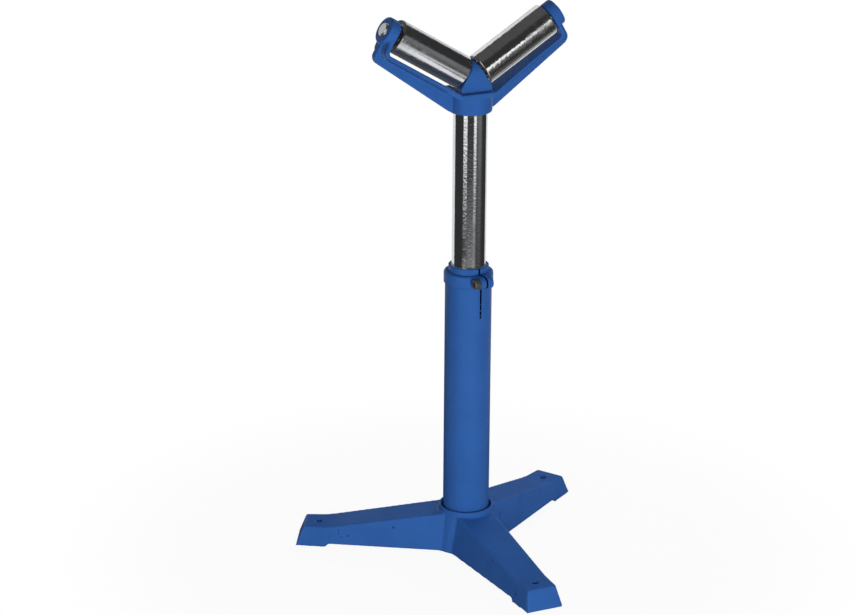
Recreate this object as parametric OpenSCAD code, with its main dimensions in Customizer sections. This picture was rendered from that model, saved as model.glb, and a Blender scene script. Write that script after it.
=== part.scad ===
// Height-adjustable V-head roller stand: three cast feet, a clamped mast and a yoke with two steel rollers.
// Millimetres, Z up. The origin is on the floor, on the column's axis.
// The rollers' axes lie in the XZ plane and the front leg points towards -Y.

/* [Base casting] */
// Distance from the column's axis to the lower edge of a foot's end
foot_reach = 282; // [250:1:320]
// How far the end of a foot leans back over its height
toe_lean = 13; // [4:1:20]
// Height of a foot's flat top
foot_h = 33.5; // [28:0.5:42]
// Length of a foot's flat top
foot_flat = 39; // [28:1:48]
// Radius of the blend from a foot's flat top to the leg's slope
foot_blend_r = 130; // [60:5:160]
// Length of the pad that a foot rests on
pad_len = 55; // [40:1:70]
// Half of a foot's width at the floor, at its end
sole_half = 32; // [28:0.5:40]
// Angle at which a leg's top rises towards the column
leg_rise = 9.7; // [7:0.1:11]
// Angle at which a leg's sides spread towards the column, seen from above
leg_spread = 3.4; // [2:0.1:5]
// Draft angle of a leg's sides
leg_draft = 13; // [8:0.5:16]
// Height of the legs' lower edges above the floor
leg_clear = 5; // [3:0.5:8]
// Wall of the base casting
base_wall = 8; // [6:0.5:10]
// How far the hub's foot reaches below the legs' lower edges
hub_drop = 1; // [0.5:0.5:2.5]
// Height of the hub's ring above the floor
hub_top = 75; // [72:1:90]
// Wall of the hub's ring
hub_wall = 4.2; // [3.6:0.2:8]
// Radial gap between the hub's ring and the column
hub_play = 3; // [1.5:0.5:5]
// Height of the machined seat under the column
seat_h = 31; // [29:1:36]
// Thickness of the web that carries the seat
web_t = 10; // [8:1:11]
// Diameter of the floor bolt holes
foot_hole_d = 11; // [9:0.5:13]
// Distance of the floor bolt holes from the column's axis
foot_hole_r = 245; // [238:1:252]
// Diameter of the cored boss round a floor bolt hole
foot_boss_d = 28; // [24:1:34]
// Turn of the base against the yoke
base_turn = 1.1; // [-20:0.1:20]

/* [Column] */
// Height of the column's top above the floor
column_top = 495; // [450:1:560]
// Outer diameter of the column
column_d = 76; // [73:0.5:80]
// Wall of the column
column_wall = 7; // [5.5:0.5:8]
// Outer diameter of the clamp collar
collar_d = 80.5; // [79:0.5:88]
// Height of the clamp collar without its lip
collar_h = 19; // [16:1:32]
// Outer diameter of the lip above the collar
lip_d = 65.5; // [63:0.5:70]
// Height of the lip above the collar
lip_h = 10; // [6:0.5:12]
// Length of the close bore that grips the mast
grip_len = 35; // [30:1:45]
// Width of the clamp slit
slit_w = 2.5; // [1.5:0.5:4]
// Length of the clamp slit from the column's top
slit_len = 83; // [70:1:110]
// Turn of the slit from the front leg
slit_turn = 5; // [-15:1:25]
// Radius of the rounded clamp ears
ear_r = 9.6; // [9.2:0.2:12]
// Distance of the clamp screw from the column's axis
ear_reach = 48.5; // [46:0.5:52]
// Depth of the clamp screw below the column's top
ear_drop = 18.5; // [17:0.5:24]
// Thickness of the plain ear under the screw's head
plain_ear_t = 9; // [7:0.5:12]
// Thickness of the tapped ear
tapped_ear_t = 10.5; // [9:0.5:18]
// Thickness of the plug welded into the column's foot
plug_t = 14; // [12:1:18]

/* [Fasteners] */
// Thread diameter of the clamp screw
clamp_screw_d = 10; // [8:1:12]
// Thread diameter of the bolt that holds the column
anchor_d = 16; // [12:1:18]
// Length of the thread that the anchor bolt has in the plug
anchor_grip = 13; // [9:1:13]
// Thread diameter of the grub screws in the yoke
grub_d = 8; // [6:1:10]

/* [Mast] */
// Outer diameter of the mast
mast_d = 55.5; // [54:0.5:57]
// Wall of the mast
mast_wall = 7.5; // [6:0.5:9]
// How far the mast stands out of the column
mast_out = 256.5; // [120:1:330]
// Depth of the step turned on the neck that enters the yoke
neck_step = 2.75; // [1.5:0.25:3.5]
// Length of that neck
neck_len = 32; // [30:1:42]
// Depth of the step turned on the foot that carries the guide ring
guide_step = 2.75; // [2:0.25:3.5]
// Height of the guide ring
guide_h = 12; // [8:1:20]
// Thickness of the retaining ring under the guide ring
retainer_t = 2; // [1.5:0.5:3]
// Length of the mast below its retaining ring
mast_tail = 3; // [2:0.5:6]
// Height left under the fully lowered mast
foot_gap = 2; // [1:0.5:6]

/* [Yoke casting] */
// Angle of each roller's axis above the level
arm_angle = 31.5; // [28:0.1:34]
// Height of the point where the rollers' axes cross, above the yoke's lower face
cross_h = 55; // [54:0.5:64]
// Outer diameter of the socket round the mast's neck
socket_d = 70; // [66:1:76]
// Chamfer on the socket's lower edge
socket_chamfer = 1.5; // [0.5:0.5:4]
// Thickness of the strap under the rollers
strap_t = 8.3; // [7:0.1:10]
// Clearance between a roller and the strap below it
strap_gap = 4.6; // [3:0.1:7]
// Half of the strap's width at the middle
strap_half = 34.5; // [30:0.5:38]
// Inner radius of the strap's outer corner
corner_r = 8; // [4:0.5:8]
// Radius of the boss at the end of an arm
boss_r = 22.3; // [20:0.1:25]
// Length of that boss along the roller's axis
boss_len = 17.6; // [14:0.1:20]
// How far the boss's machined inner face stands out from the strap
boss_facing = 0.4; // [0.2:0.1:1.5]
// Radius of the rounded outer edge of that boss
boss_edge = 2.5; // [1:0.5:4]
// Thickness of the rib under the strap
rib_t = 12; // [8:0.5:16]
// Depth of the rib's lower edge below the roller's axis, at the socket
rib_root = 64.4; // [62:0.1:67]
// How far that end of the rib stands out from the socket's side
rib_root_step = 3; // [1:0.5:6]
// Depth of the rib's lower edge below the roller's axis, at the arm's end
rib_tip = 52; // [49:0.1:56]
// Radius of the rib's outer corner
rib_corner_r = 13; // [9:0.5:16]
// How far the rib's outer edge stays behind the boss's face
rib_step = 5; // [1:0.5:6]
// Radius of the rounded faces of the middle wedge
wedge_r = 24; // [21:0.5:26]
// Clearance between a roller's inner end and the wedge
wedge_gap = 2.8; // [2:0.1:4]

/* [Rollers] */
// Outer diameter of a roller
roller_d = 54; // [52:0.5:58]
// Length of a roller
roller_len = 134.8; // [110:0.1:170]
// Distance from the crossing of the axes to a roller's inner end
roller_start = 19.8; // [19:0.1:24]
// Clearance between a roller's outer end and the arm
roller_end_gap = 4.4; // [3:0.1:9]
// Radius of the rounded edges of a roller
roller_edge = 1.5; // [0.5:0.1:2.5]
// Depth of the bearings below a roller's ends
bearing_recess = 3; // [2.5:0.1:5]
// Wall of a roller between its bearings
roller_wall = 8; // [6.5:0.5:10]
// Diameter of an axle
axle_d = 22; // [20:0.5:24]
// Depth of an axle's seat in the wedge
axle_seat = 7; // [5:0.5:8]
// How far an axle stands out of its boss
axle_proud = 3; // [2:0.5:7]
// Radial thickness of the spacers on the axles
spacer_t = 2.4; // [1.5:0.1:2.6]

/* [Bearings] */
// Outer diameter of a ball bearing
bearing_d = 44; // [43:0.5:46]
// Width of a ball bearing
bearing_w = 12; // [11:0.5:14]
// Radial thickness of a bearing's rings
race_t = 2.8; // [2.5:0.1:3]
// Diameter of a bearing ball
ball_d = 6.35; // [5.8:0.05:6.5]
// Number of balls in a bearing
ball_count = 9; // [7:1:10]
// Thickness of a bearing's seals
seal_t = 0.8; // [0.5:0.1:1]
// Thickness of the circlip that holds a bearing
clip_t = 1.8; // [1.2:0.1:2]
// Depth of the circlip's groove
clip_groove = 1.2; // [0.8:0.1:1.5]

/* [Fits] */
// Radial clearance of a turning or sliding fit
run_fit = 0.05; // [0.02:0.01:0.1]
// Radial clearance of a fixed fit
fixed_fit = 0.03; // [0.02:0.01:0.08]
// Clearance between flat faces that pass each other
face_gap = 0.2; // [0.1:0.05:0.4]

/* [Hidden] */
$fn = 96;
paint_blue = [0.17, 0.35, 0.63];
steel = [0.72, 0.73, 0.75];
dark_steel = [0.33, 0.33, 0.34];
bronze = [0.72, 0.52, 0.28];
rubber_black = [0.08, 0.08, 0.09];
cut = 1;
leg_headings = [30, 150, 270];
front_heading = 270;
sides = [-1, 1];

// Base
hub_in_r = column_d / 2 + hub_play;
hub_out_r = hub_in_r + hub_wall;
toe_top = foot_reach - toe_lean;
flat_start = toe_top - foot_flat;
sole_root = sole_half + foot_reach * tan(leg_spread);
draft_tilt = atan(tan(leg_draft) * cos(leg_spread));
underside_r = hub_out_r - base_wall;

// Column and clamp
column_bore = column_d - 2 * column_wall;
collar_top = column_top - lip_h;
collar_bottom = collar_top - collar_h;
collar_round = 4;
collar_base_bevel = 3;
slit_heading = base_turn + front_heading + slit_turn;
plain_face = slit_w / 2 + plain_ear_t;
tapped_face = slit_w / 2 + tapped_ear_t;
grip_bore = mast_d + 2 * run_fit;

// Mast, by the room that it needs when it is fully lowered
yoke_z = column_top + mast_out;
mast_bottom = seat_h + plug_t + foot_gap + mast_out;
retainer_z = mast_bottom + mast_tail;
guide_z = retainer_z + retainer_t + face_gap;
guide_seat_top = guide_z + guide_h + face_gap;
retainer_rim = 2.2;
retainer_bite = 1.2;
mast_bore = mast_d - 2 * mast_wall;
neck_d = mast_d - 2 * neck_step;
guide_seat_d = mast_d - 2 * guide_step;

// Yoke, by distances along and below a roller's axis
roller_r = roller_d / 2;
roller_end = roller_start + roller_len;
arm_in = roller_end + roller_end_gap;
strap_face = arm_in + boss_facing;
arm_out = strap_face + strap_t;
boss_face = arm_in + boss_len;
strap_in = roller_r + strap_gap;
strap_out = strap_in + strap_t;
wedge_face = roller_start - wedge_gap;
rib_edge = boss_face - rib_step;
arc_steps = 6;
plate_half = boss_r - 0.4;
cross_z = yoke_z + cross_h;

// The strap's level middle starts where its sloping top meets this height
table_corner = wedge_face - 2;

// Bearings
bearing_r = bearing_d / 2;
axle_r = axle_d / 2;
ball_r = ball_d / 2;
pitch_r = (bearing_r + axle_r) / 2;
groove_r = ball_r + 0.12;
cage_t = 1.6;
cage_w = ball_d + 1.6;
inner_bearing_x = roller_start + bearing_recess + bearing_w / 2;
outer_bearing_x = roller_end - bearing_recess - bearing_w / 2;
bearing_places = [inner_bearing_x, outer_bearing_x];

// Points of a circular arc about centre c
function arc(c, r, from, to) =
    [for (i = [0:arc_steps]) c + r * [cos(from + (to - from) * i / arc_steps), sin(from + (to - from) * i / arc_steps)]];

// A point s along a roller's axis and t below it, in the plane of the two axes, right side
function arm_point(s, t) = [s * cos(arm_angle) + t * sin(arm_angle), cross_z + s * sin(arm_angle) - t * cos(arm_angle)];

// A list of points and its mirror image, as one outline
function mirrored(points) = concat(points, [for (i = [len(points) - 1:-1:0]) [-points[i][0], points[i][1]]]);

// A tube or ring along Z from z = 0
module ring(outer_r, inner_r, h) {
    difference() {
        cylinder(r = outer_r, h = h);
        translate([0, 0, -cut]) cylinder(r = inner_r, h = h + 2 * cut);
    }
}

// Cylinder along X from x0 to x1
module rod_x(r, x0, x1) {
    translate([x0, 0, 0]) rotate([0, 90, 0]) cylinder(r = r, h = x1 - x0);
}

// Places children in an arm's frame: X along the roller's axis, Z square to it in the plane of the axes
module arm(side) {
    translate([0, 0, cross_z])
        rotate([0, 0, side > 0 ? 0 : 180])
            rotate([0, -arm_angle, 0])
                children();
}

// Half-space bounded by a leg's drafted side, moved in by wall
module leg_side(wall) {
    translate([0, sole_root - wall, 0])
        rotate([draft_tilt, 0, -leg_spread])
            translate([-foot_reach, -foot_reach, -foot_reach])
                cube([3 * foot_reach, foot_reach, 2 * foot_reach]);
}

// A leg's outline from the side, as an outer form or as the core of the hollow under it
module leg_profile(wall) {
    top_root = foot_h + flat_start * tan(leg_rise) - wall;
    pad_in = foot_reach - pad_len;
    low = wall > 0 ? -cut : leg_clear;
    sole = wall > 0 ? -cut : 0;
    blend_x = flat_start + foot_blend_r * tan(leg_rise / 2);
    blend = arc([blend_x, foot_h + foot_blend_r], foot_blend_r + wall, 270, 270 - leg_rise);
    polygon(concat([
        [0, low],
        [pad_in, low],
        [pad_in + leg_clear, sole],
        [foot_reach - wall, sole],
        [toe_top - wall, foot_h - wall]
    ], blend, [[0, top_root]]));
}

// One leg along X, solid for wall = 0, or the core that hollows it
module leg(wall) {
    intersection() {
        rotate([90, 0, 0])
            translate([0, 0, -foot_reach / 2])
                linear_extrude(height = foot_reach) leg_profile(wall);
        leg_side(wall);
        mirror([0, 1, 0]) leg_side(wall);
    }
}

// Hub with a standing ring, drafted like the legs' sides
module hub_form() {
    leg_top_at_hub = foot_h + (flat_start - hub_out_r) * tan(leg_rise);
    foot_z = leg_clear - hub_drop;
    edge = 1;
    rotate_extrude()
        polygon([
            [0, foot_z],
            [hub_out_r + (leg_top_at_hub - foot_z) * tan(leg_draft), foot_z],
            [hub_out_r, leg_top_at_hub],
            [hub_out_r, hub_top - edge],
            [hub_out_r - edge, hub_top],
            [0, hub_top]
        ]);
}

module base_casting() {
    color(paint_blue) rotate([0, 0, base_turn]) difference() {
        union() {
            difference() {
                union() {
                    hub_form();
                    for (a = leg_headings) rotate([0, 0, a]) leg(0);
                }
                for (a = leg_headings) rotate([0, 0, a]) difference() {
                    leg(base_wall);
                    translate([0, 0, -2 * cut]) cylinder(r = hub_out_r, h = hub_top);
                }
            }
            for (a = leg_headings) rotate([0, 0, a])
                translate([foot_hole_r, 0, 0]) cylinder(d = foot_boss_d, h = foot_h - base_wall / 2);
        }
        translate([0, 0, seat_h]) cylinder(r = hub_in_r, h = hub_top);
        translate([0, 0, -cut]) cylinder(r = underside_r, h = seat_h - web_t + cut);
        translate([0, 0, -cut]) cylinder(d = anchor_d + 1.5, h = hub_top);
        for (a = leg_headings) rotate([0, 0, a])
            translate([foot_hole_r, 0, -cut]) cylinder(d = foot_hole_d, h = foot_h + 2 * cut);
    }
}

// Places children at the clamp screw, with Z along it towards its head
module at_clamp() {
    rotate([0, 0, slit_heading])
        translate([ear_reach, 0, column_top - ear_drop])
            rotate([90, 0, 0])
                children();
}

// Column's turned form: plain tube, collar with a rounded shoulder, and lip
module column_turned() {
    r = column_d / 2;
    collar_r = collar_d / 2;
    lip_edge = 0.8;
    rotate_extrude()
        polygon(concat(
            [[0, seat_h], [r, seat_h], [r, collar_bottom - collar_base_bevel], [collar_r, collar_bottom]],
            arc([collar_r - collar_round, collar_top - collar_round], collar_round, 0, 90),
            [[lip_d / 2, collar_top], [lip_d / 2, column_top - lip_edge], [lip_d / 2 - lip_edge, column_top]],
            [[0, column_top]]
        ));
}

// The two clamp ears in one piece, before the slit parts them
module clamp_ears() {
    at_clamp() translate([0, 0, -tapped_face]) {
        cylinder(r = ear_r, h = tapped_face + plain_face);
        translate([-ear_reach + column_d / 2 - column_wall / 2, -ear_r, 0])
            cube([ear_reach - column_d / 2 + column_wall / 2, 2 * ear_r, tapped_face + plain_face]);
    }
}

module column() {
    color(paint_blue) difference() {
        union() {
            column_turned();
            clamp_ears();
        }
        translate([0, 0, seat_h - cut])
            cylinder(d = column_bore, h = column_top - grip_len - seat_h + cut);
        translate([0, 0, seat_h]) cylinder(d = grip_bore, h = column_top);
        rotate([0, 0, slit_heading])
            translate([0, -slit_w / 2, column_top - slit_len])
                cube([column_d, slit_w, slit_len + cut]);
        at_clamp() cylinder(d = clamp_screw_d + 1, h = plain_face + cut);
        at_clamp() translate([0, 0, -tapped_face - cut])
            cylinder(d = clamp_screw_d + 2 * run_fit, h = tapped_face + 2 * cut);
    }
}

module column_foot_plug() {
    color(dark_steel) translate([0, 0, seat_h])
        ring(column_bore / 2 - fixed_fit, anchor_d / 2 + fixed_fit, plug_t);
}

module anchor_bolt() {
    head_h = 0.62 * anchor_d;
    lock_h = 0.2 * anchor_d;
    washer_h = 0.18 * anchor_d;
    head_top = seat_h - web_t - washer_h - lock_h;
    color(dark_steel) {
        translate([0, 0, head_top]) cylinder(d = anchor_d, h = washer_h + lock_h + web_t + anchor_grip);
        translate([0, 0, head_top - head_h]) cylinder(d = 1.73 * anchor_d, h = head_h, $fn = 6);
    }
}

module anchor_washer() {
    washer_h = 0.18 * anchor_d;
    color(steel) translate([0, 0, seat_h - web_t - washer_h])
        ring(0.94 * anchor_d, anchor_d / 2 + 0.5, washer_h);
}

module anchor_lock_washer() {
    washer_h = 0.18 * anchor_d;
    lock_h = 0.2 * anchor_d;
    split = 2;
    color(dark_steel) translate([0, 0, seat_h - web_t - washer_h - lock_h]) difference() {
        ring(0.8 * anchor_d, anchor_d / 2 + 0.3, lock_h);
        translate([0, -split / 2, -cut]) cube([anchor_d, split, lock_h + 2 * cut]);
    }
}

module clamp_screw() {
    head_r = 0.8 * clamp_screw_d;
    head_h = clamp_screw_d;
    key = 0.8 * clamp_screw_d;
    edge = 0.8;
    tip = 1;
    shank_end = -tapped_face + 1.5;
    color(dark_steel) at_clamp() difference() {
        rotate_extrude()
            polygon([
                [0, shank_end],
                [clamp_screw_d / 2 - tip, shank_end],
                [clamp_screw_d / 2, shank_end + tip],
                [clamp_screw_d / 2, plain_face + face_gap],
                [head_r, plain_face + face_gap],
                [head_r, plain_face + head_h - edge],
                [head_r - edge, plain_face + head_h],
                [0, plain_face + head_h]
            ]);
        translate([0, 0, plain_face + head_h / 2])
            cylinder(d = key / cos(30), h = head_h, $fn = 6);
    }
}

module mast_tube() {
    r = mast_d / 2;
    neck_edge = 1.5;
    groove_r = guide_seat_d / 2 - retainer_bite;
    color(steel) rotate_extrude()
        polygon([
            [mast_bore / 2, mast_bottom],
            [guide_seat_d / 2 - 1, mast_bottom],
            [guide_seat_d / 2, mast_bottom + 1],
            [guide_seat_d / 2, retainer_z],
            [groove_r, retainer_z],
            [groove_r, retainer_z + retainer_t],
            [guide_seat_d / 2, retainer_z + retainer_t],
            [guide_seat_d / 2, guide_seat_top],
            [r, guide_seat_top],
            [r, yoke_z],
            [neck_d / 2, yoke_z],
            [neck_d / 2, yoke_z + neck_len - neck_edge],
            [neck_d / 2 - neck_edge, yoke_z + neck_len],
            [mast_bore / 2, yoke_z + neck_len]
        ]);
}

module guide_ring() {
    color(bronze) translate([0, 0, guide_z])
        ring(column_bore / 2 - run_fit, guide_seat_d / 2 + run_fit, guide_h);
}

module guide_retaining_ring() {
    opening = 8;
    color(dark_steel) translate([0, 0, retainer_z]) difference() {
        ring(guide_seat_d / 2 + retainer_rim, guide_seat_d / 2 - retainer_bite + fixed_fit, retainer_t);
        translate([0, -opening / 2, -cut]) cube([guide_seat_d, opening, retainer_t + 2 * cut]);
    }
}

// Half-width of the strap at a distance x from the middle, easing to the end plate's at the arm's end
function strap_half_at(x, x0, x1) = plate_half + (strap_half - plate_half) * pow((x1 - x) / (x1 - x0), 2);

// Strap with its level table and turned-up ends, seen from the front
module strap_profile() {
    outer_corner = corner_r + strap_t;
    bend = strap_face - corner_r;
    low = strap_in - corner_r;
    // Where the lower faces of the table and of the sloping strap meet
    under_s = table_corner - strap_t * (1 - cos(arm_angle)) / sin(arm_angle);
    polygon(mirrored(concat(
        [arm_point(under_s, strap_out)],
        [for (q = arc([bend, low], outer_corner, 90, 0)) arm_point(q[0], q[1])],
        [arm_point(arm_out, 0), arm_point(strap_face, 0)],
        [for (q = arc([bend, low], corner_r, 0, 90)) arm_point(q[0], q[1])],
        [arm_point(table_corner, strap_in)]
    )));
}

// Strap and table seen from above
module strap_plan() {
    x0 = arm_point(table_corner, strap_in)[0];
    x1 = arm_point(strap_face, strap_in)[0];
    reach = arm_point(arm_out, strap_out)[0] + cut;
    steps = 12;
    xs = [for (i = [steps:-1:0]) x0 + (x1 - x0) * i / steps];
    rear = mirrored(concat([[reach, plate_half]], [for (x = xs) [x, strap_half_at(x, x0, x1)]]));
    front = [for (i = [len(rear) - 1:-1:0]) [rear[i][0], -rear[i][1]]];
    polygon(concat(rear, front));
}

module strap() {
    intersection() {
        rotate([90, 0, 0])
            translate([0, 0, -strap_half - cut])
                linear_extrude(height = 2 * strap_half + 2 * cut) strap_profile();
        translate([0, 0, yoke_z])
            linear_extrude(height = 4 * cross_h) strap_plan();
    }
}

// One arm's rib in the arm's frame: an upright plate under the strap, up to the boss
module rib() {
    sink = strap_t / 2;
    boss_sink = boss_r / 2;
    // Where the rib's lower edge reaches the socket, and a point inside it
    root_s = (socket_d / 2 + rib_root_step - rib_root * sin(arm_angle)) / cos(arm_angle);
    inside_s = root_s - socket_d / 4;
    rotate([90, 0, 0])
        translate([0, 0, -rib_t / 2])
            linear_extrude(height = rib_t)
                polygon(concat(
                    [[root_s, -rib_root]],
                    arc([rib_edge - rib_corner_r, rib_corner_r - rib_tip], rib_corner_r, -90, 0),
                    [[rib_edge, -boss_sink], [strap_face + sink, -boss_sink]],
                    [[strap_face + sink, corner_r - strap_in], [strap_face - corner_r, -strap_in - sink]],
                    [[inside_s, -strap_in - sink]]
                ));
}

// Boss round an axle's outer end, in the arm's frame, with a rounded outer edge
module boss() {
    rotate([0, 90, 0])
        rotate_extrude()
            polygon(concat(
                [[0, arm_in], [boss_r, arm_in]],
                arc([boss_r - boss_edge, boss_face - boss_edge], boss_edge, 0, 90),
                [[0, boss_face]]
            ));
}

// Middle wedge between the rollers, seen from the front: its faces are square to the two axes
module wedge_gable() {
    table_z = arm_point(table_corner, strap_in)[1];
    foot = arm_point(wedge_face, wedge_r);
    polygon(mirrored([[foot[0], table_z - strap_t / 2], foot, arm_point(wedge_face, -wedge_r)]));
}

// The wedge seen from the side: a round top that follows the two round faces
module wedge_section() {
    steps = 24;
    table_z = arm_point(table_corner, strap_in)[1];
    centre_z = arm_point(wedge_face, 0)[1];
    polygon(concat(
        [[wedge_r, table_z - strap_t / 2]],
        [for (i = [0:steps])
            [wedge_r * cos(180 * i / steps), centre_z + wedge_r * cos(arm_angle) * sin(180 * i / steps)]],
        [[-wedge_r, table_z - strap_t / 2]]
    ));
}

module wedge_form() {
    intersection() {
        rotate([90, 0, 0])
            translate([0, 0, -wedge_r - cut])
                linear_extrude(height = 2 * wedge_r + 2 * cut) wedge_gable();
        rotate([90, 0, 90])
            translate([0, 0, -2 * wedge_r])
                linear_extrude(height = 4 * wedge_r) wedge_section();
    }
}

// Places children at each grub screw in the socket, Z pointing outwards
module at_yoke_grubs() {
    for (a = [60, 120])
        rotate([0, 0, a])
            translate([0, 0, yoke_z + neck_len / 2])
                rotate([0, 90, 0])
                    children();
}

// Places children at each grub screw in the arm bosses, Z pointing to the rear
module at_axle_grubs() {
    for (side = sides) arm(side)
        translate([(arm_in + boss_face) / 2, 0, 0])
            rotate([side > 0 ? -90 : 90, 0, 0])
                children();
}

module yoke_casting() {
    r = socket_d / 2;
    table_z = arm_point(table_corner, strap_in)[1];
    color(paint_blue) difference() {
        union() {
            strap();
            wedge_form();
            translate([0, 0, yoke_z]) {
                cylinder(r1 = r - socket_chamfer, r2 = r, h = socket_chamfer);
                translate([0, 0, socket_chamfer]) cylinder(r = r, h = table_z - yoke_z - socket_chamfer - strap_t / 2);
            }
            for (side = sides) arm(side) {
                boss();
                rib();
            }
        }
        translate([0, 0, yoke_z - cut]) cylinder(d = neck_d + 2 * fixed_fit, h = neck_len + cut + face_gap);
        for (side = sides) arm(side) {
            rod_x(axle_r + fixed_fit, arm_in - cut, boss_face + cut);
            rod_x(axle_r + fixed_fit, wedge_face - axle_seat, wedge_face + cut);
        }
        at_yoke_grubs() cylinder(d = grub_d + 2 * fixed_fit, h = socket_d);
        at_axle_grubs() cylinder(d = grub_d + 2 * fixed_fit, h = 2 * boss_r);
    }
}

// Headless screw along Z from z0, with a hexagon socket in its outer end
module grub_screw(z0, len) {
    key = grub_d / 2;
    tip = 1;
    translate([0, 0, z0]) difference() {
        union() {
            cylinder(r1 = grub_d / 2 - tip, r2 = grub_d / 2, h = tip);
            translate([0, 0, tip]) cylinder(d = grub_d, h = len - tip);
        }
        translate([0, 0, len / 2]) cylinder(d = key / cos(30), h = len, $fn = 6);
    }
}

module yoke_grub_screws() {
    seat = neck_d / 2 + face_gap;
    color(dark_steel) at_yoke_grubs() grub_screw(seat, socket_d / 2 - seat - 0.5);
}

module axle_grub_screws() {
    seat = axle_r + face_gap;
    color(dark_steel) at_axle_grubs() grub_screw(seat, boss_r - seat - 0.5);
}

module axle(side) {
    edge = 1.5;
    x0 = wedge_face - axle_seat + face_gap;
    x1 = boss_face + axle_proud;
    color(steel) arm(side) rotate([0, 90, 0])
        rotate_extrude()
            polygon([[0, x0], [axle_r - edge, x0], [axle_r, x0 + edge], [axle_r, x1 - edge], [axle_r - edge, x1], [0, x1]]);
}

module spacer(side, x0, x1) {
    color(steel) arm(side) translate([x0, 0, 0]) rotate([0, 90, 0])
        ring(axle_r + spacer_t, axle_r + fixed_fit, x1 - x0);
}

module inner_spacer(side) {
    spacer(side, wedge_face, inner_bearing_x - bearing_w / 2);
}

module outer_spacer(side) {
    spacer(side, outer_bearing_x + bearing_w / 2, arm_in);
}

// Roller shell: turned outside with rounded edges, bored for a bearing and a circlip at each end
module roller(side) {
    seat_r = bearing_r + fixed_fit;
    seat_len = bearing_recess + bearing_w;
    clip_r = bearing_r + clip_groove;
    half = roller_len / 2;
    centre = roller_start + half;
    outer = concat(
        arc([roller_r - roller_edge, half - roller_edge], roller_edge, 90, 0),
        arc([roller_r - roller_edge, roller_edge - half], roller_edge, 0, -90)
    );
    color(steel) arm(side) translate([centre, 0, 0]) rotate([0, 90, 0]) difference() {
        rotate_extrude() polygon(concat([[0, half]], outer, [[0, -half]]));
        translate([0, 0, -half - cut]) cylinder(r = roller_r - roller_wall, h = roller_len + 2 * cut);
        for (end = sides) {
            translate([0, 0, end * (half - seat_len / 2 + cut / 2)])
                cylinder(r = seat_r, h = seat_len + cut, center = true);
            translate([0, 0, end * (half - bearing_recess + clip_t / 2 + face_gap / 2)])
                cylinder(r = clip_r, h = clip_t + face_gap, center = true);
        }
    }
}

// Both circlips of one roller, each just outside its bearing
module bearing_circlips(side) {
    rim = 2.6;
    opening = 14;
    half = roller_len / 2;
    color(dark_steel) arm(side) translate([roller_start + half, 0, 0]) rotate([0, 90, 0])
        for (end = sides)
            translate([0, 0, end * (half - bearing_recess + (clip_t + face_gap) / 2) - clip_t / 2]) difference() {
                ring(bearing_r + clip_groove - 0.1, bearing_r + clip_groove - 0.1 - rim, clip_t);
                translate([0, -opening / 2, -cut]) cube([bearing_d, opening, clip_t + 2 * cut]);
            }
}

// Places children at a bearing's middle, Z along the axle
module at_bearing(side, x) {
    arm(side) translate([x, 0, 0]) rotate([0, 90, 0]) children();
}

module race_groove() {
    rotate_extrude() translate([pitch_r, 0]) circle(r = groove_r);
}

module bearing_outer_ring(side, x) {
    color(steel) at_bearing(side, x) difference() {
        translate([0, 0, -bearing_w / 2]) ring(bearing_r, bearing_r - race_t, bearing_w);
        race_groove();
    }
}

module bearing_inner_ring(side, x) {
    color(steel) at_bearing(side, x) difference() {
        translate([0, 0, -bearing_w / 2]) ring(axle_r + race_t, axle_r + fixed_fit, bearing_w);
        race_groove();
    }
}

// Places children at every ball of a bearing
module at_balls() {
    for (i = [0:ball_count - 1])
        rotate([0, 0, i * 360 / ball_count]) translate([pitch_r, 0, 0]) children();
}

module bearing_balls(side, x) {
    color(steel) at_bearing(side, x) at_balls() sphere(r = ball_r);
}

module bearing_cage(side, x) {
    color(bronze) at_bearing(side, x) difference() {
        translate([0, 0, -cage_w / 2]) ring(pitch_r + cage_t / 2, pitch_r - cage_t / 2, cage_w);
        at_balls() rotate([0, 90, 0]) cylinder(r = groove_r, h = 2 * cage_t, center = true);
    }
}

// All four seals of one roller's bearings, carried by the outer rings
module bearing_seals(side) {
    lip_gap = 0.25;
    inset = 0.3;
    color(rubber_black) for (x = bearing_places) at_bearing(side, x)
        for (end = sides)
            translate([0, 0, end * (bearing_w / 2 - inset - seal_t / 2) - seal_t / 2])
                ring(bearing_r - race_t - fixed_fit, axle_r + race_t + lip_gap, seal_t);
}

base_casting();
column();
column_foot_plug();
anchor_bolt();
anchor_washer();
anchor_lock_washer();
clamp_screw();
mast_tube();
guide_ring();
guide_retaining_ring();
yoke_casting();
yoke_grub_screws();
axle_grub_screws();
axle(-1);  // left_axle
axle(1);  // right_axle
roller(-1);  // left_roller
roller(1);  // right_roller
inner_spacer(-1);  // left_inner_spacer
outer_spacer(-1);  // left_outer_spacer
inner_spacer(1);  // right_inner_spacer
outer_spacer(1);  // right_outer_spacer
bearing_circlips(-1);  // left_bearing_circlips
bearing_circlips(1);  // right_bearing_circlips
bearing_outer_ring(-1, inner_bearing_x);  // left_inner_bearing_outer_ring
bearing_outer_ring(-1, outer_bearing_x);  // left_outer_bearing_outer_ring
bearing_outer_ring(1, inner_bearing_x);  // right_inner_bearing_outer_ring
bearing_outer_ring(1, outer_bearing_x);  // right_outer_bearing_outer_ring
bearing_inner_ring(-1, inner_bearing_x);  // left_inner_bearing_inner_ring
bearing_inner_ring(-1, outer_bearing_x);  // left_outer_bearing_inner_ring
bearing_inner_ring(1, inner_bearing_x);  // right_inner_bearing_inner_ring
bearing_inner_ring(1, outer_bearing_x);  // right_outer_bearing_inner_ring
bearing_balls(-1, inner_bearing_x);  // left_inner_bearing_balls
bearing_balls(-1, outer_bearing_x);  // left_outer_bearing_balls
bearing_balls(1, inner_bearing_x);  // right_inner_bearing_balls
bearing_balls(1, outer_bearing_x);  // right_outer_bearing_balls
bearing_cage(-1, inner_bearing_x);  // left_inner_bearing_cage
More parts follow.
